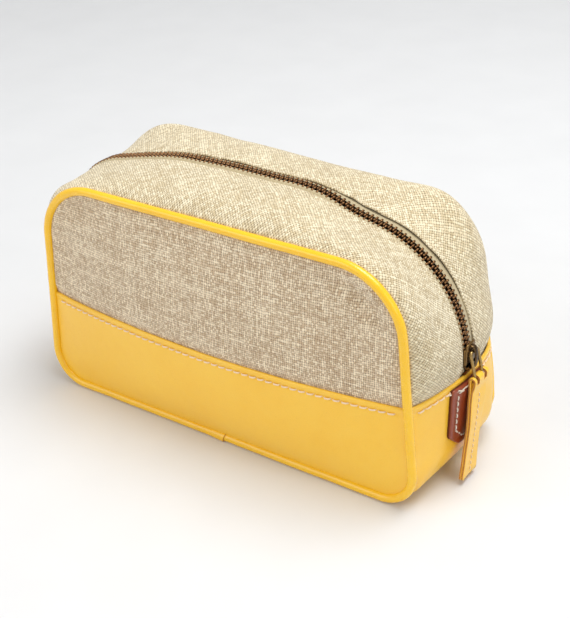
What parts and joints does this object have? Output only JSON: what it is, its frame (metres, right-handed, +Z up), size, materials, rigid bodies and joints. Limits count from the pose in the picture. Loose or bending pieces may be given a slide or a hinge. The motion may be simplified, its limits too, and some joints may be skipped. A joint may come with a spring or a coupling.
{
  "type": "shaving kit bag",
  "caption": "Soft zipped toiletry bag with linen upper, leather base and piping, metal zip over the top with a sliding runner, ring and leather pull.",
  "frame": {"origin": "middle of the underside, on the surface the bag rests on", "axes": "+X along the length towards the closed end of the zip, -Y the front panel, +Z up"},
  "size_m": [0.2578, 0.1086, 0.1377],
  "materials": {
    "linen_front": "coarse natural linen weave",
    "linen_top": "coarse natural linen weave, laid on the bias",
    "yellow_leather": "smooth, semi-gloss",
    "yellow_piping": "smooth, glossy",
    "brown_leather": "smooth, satin",
    "lining_cloth": "plain cotton",
    "cord": "cotton filler cord",
    "board": "fibre board",
    "zip_tape": "woven herringbone tape",
    "zip_metal": "antique brass",
    "slider_metal": "dark antique brass, rubbed edges",
    "thread": "waxed thread"
  },
  "bodies": {
    "bag": {"front_linen": "linen_front", "front_leather": "yellow_leather", "back_linen": "linen_front", "back_leather": "yellow_leather", "front_piping": "yellow_piping", "back_piping": "yellow_piping", "front_piping_cord": "cord", "back_piping_cord": "cord", "gusset_front_linen": "linen_top", "gusset_back_linen": "linen_top", "base_leather": "yellow_leather", "end_tab_right": "brown_leather", "end_tab_left": "brown_leather", "lining_front": "lining_cloth", "lining_back": "lining_cloth", "lining_base": "lining_cloth", "lining_top_front": "lining_cloth", "lining_top_back": "lining_cloth", "base_board": "board", "zip_tape_front": "zip_tape", "zip_tape_back": "zip_tape", "zip_teeth_front": "zip_metal", "zip_teeth_back": "zip_metal", "zip_top_stops": "zip_metal", "zip_bottom_stop": "zip_metal", "front_stitches": "thread", "back_stitches": "thread", "side_stitches": "thread", "tab_right_stitches": "thread", "tab_left_stitches": "thread"},
    "slider": {"zip_slider": "slider_metal"},
    "ring": {"pull_link": "slider_metal"},
    "pull": {"pull_strap": "yellow_leather", "pull_thread": "thread"}
  },
  "joints": [
    {"name": "slider_travel", "type": "hinge", "parent": "bag", "child": "slider", "pos_m": [0.06, 0, 0.0674], "axis": [0, -1, 0], "range_deg": [0, 76], "deforming": ["zip_teeth_front", "zip_teeth_back"]},
    {"name": "ring_swing", "type": "hinge", "parent": "slider", "child": "ring", "pos_m": [0.1267, 0, 0.0731], "axis": [0, -1, 0], "range_deg": [0, 120]},
    {"name": "pull_swing", "type": "hinge", "parent": "ring", "child": "pull", "pos_m": [0.1291, 0.0015, 0.0584], "axis": [0, -1, 0], "range_deg": [0, 75]}
  ]
}
